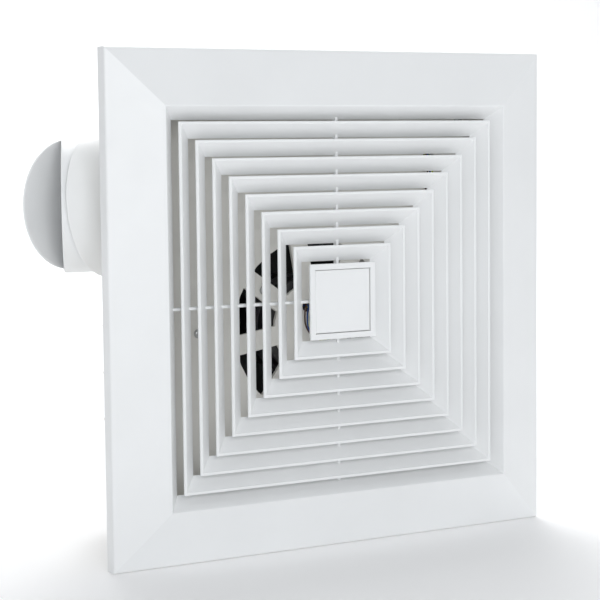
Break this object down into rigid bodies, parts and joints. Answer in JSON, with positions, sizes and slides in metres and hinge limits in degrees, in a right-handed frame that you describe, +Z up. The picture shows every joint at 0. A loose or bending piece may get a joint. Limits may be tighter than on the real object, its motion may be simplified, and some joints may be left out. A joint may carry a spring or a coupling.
{
  "type": "ceiling duct extractor fan",
  "caption": "Square louvred panel over a plastic housing with a centrifugal fan, a motor spider and a round side outlet with a pivoting back-draught shutter.",
  "frame": {"origin": "centre of the panel on the ceiling surface that its rim meets", "axes": "+Y from the room into the ceiling void, +X away from the duct outlet, +Z up as the picture shows the fan standing on edge"},
  "size_m": [0.393, 0.1623, 0.36],
  "materials": {
    "white_plastic": "satin white moulded ABS",
    "inner_plastic": "warm white moulded plastic, matt",
    "black_plastic": "black moulded plastic",
    "zinc_steel": "zinc-plated steel",
    "core_steel": "stacked electrical-steel laminations",
    "bronze": "sintered bronze",
    "winding": "enamelled copper wire",
    "cream_plastic": "cream terminal plastic",
    "lead_earth": "yellow-green wire sleeve",
    "lead_neutral": "blue wire sleeve",
    "lead_live": "brown wire sleeve",
    "black_paint": "black painted pressed steel"
  },
  "bodies": {
    "fan_housing": {"cable_gland": "black_plastic", "capacitor": "black_plastic", "front_bearing": "bronze", "gland_nut": "black_plastic", "housing_shell": "inner_plastic", "motor_front_bell": "black_paint", "motor_lead_earth": "lead_earth", "motor_lead_live": "lead_live", "motor_lead_neutral": "lead_neutral", "motor_rear_bell": "black_paint", "motor_screw_1": "zinc_steel", "motor_screw_2": "zinc_steel", "motor_screw_3": "zinc_steel", "motor_screw_4": "zinc_steel", "orifice_plate": "inner_plastic", "outlet_socket": "white_plastic", "outlet_spigot": "white_plastic", "plate_screw_1": "zinc_steel", "plate_screw_2": "zinc_steel", "plate_screw_3": "zinc_steel", "plate_screw_4": "zinc_steel", "rear_bearing": "bronze", "scroll_screw_1": "zinc_steel", "scroll_screw_2": "zinc_steel", "scroll_wall": "inner_plastic", "shutter_pin": "zinc_steel", "stator_core": "core_steel", "stator_winding_front": "winding", "stator_winding_rear": "winding", "terminal_block": "cream_plastic", "terminal_box": "inner_plastic", "terminal_cover": "inner_plastic"},
    "panel": {"centre_badge": "white_plastic", "front_grille": "white_plastic", "panel_spring_bottom": "zinc_steel", "panel_spring_left": "zinc_steel", "panel_spring_right": "zinc_steel", "panel_spring_top": "zinc_steel"},
    "rotor": {"impeller": "black_plastic", "impeller_nut": "zinc_steel", "motor_shaft": "zinc_steel", "rotor_core": "core_steel"},
    "shutter": {"shutter_flap": "white_plastic"}
  },
  "joints": [
    {"name": "panel_pull", "type": "slide", "parent": "fan_housing", "child": "panel", "axis": [0, -1, 0], "range_m": [0, 0.04]},
    {"name": "impeller_spin", "type": "hinge", "parent": "fan_housing", "child": "rotor", "pos_m": [0, 0.07, -0.022], "axis": [0, -1, 0], "continuous": true},
    {"name": "shutter_swing", "type": "hinge", "parent": "fan_housing", "child": "shutter", "pos_m": [-0.1682, 0.084, 0.0715], "axis": [0, 0, 1], "range_deg": [-25, 38.5]}
  ]
}
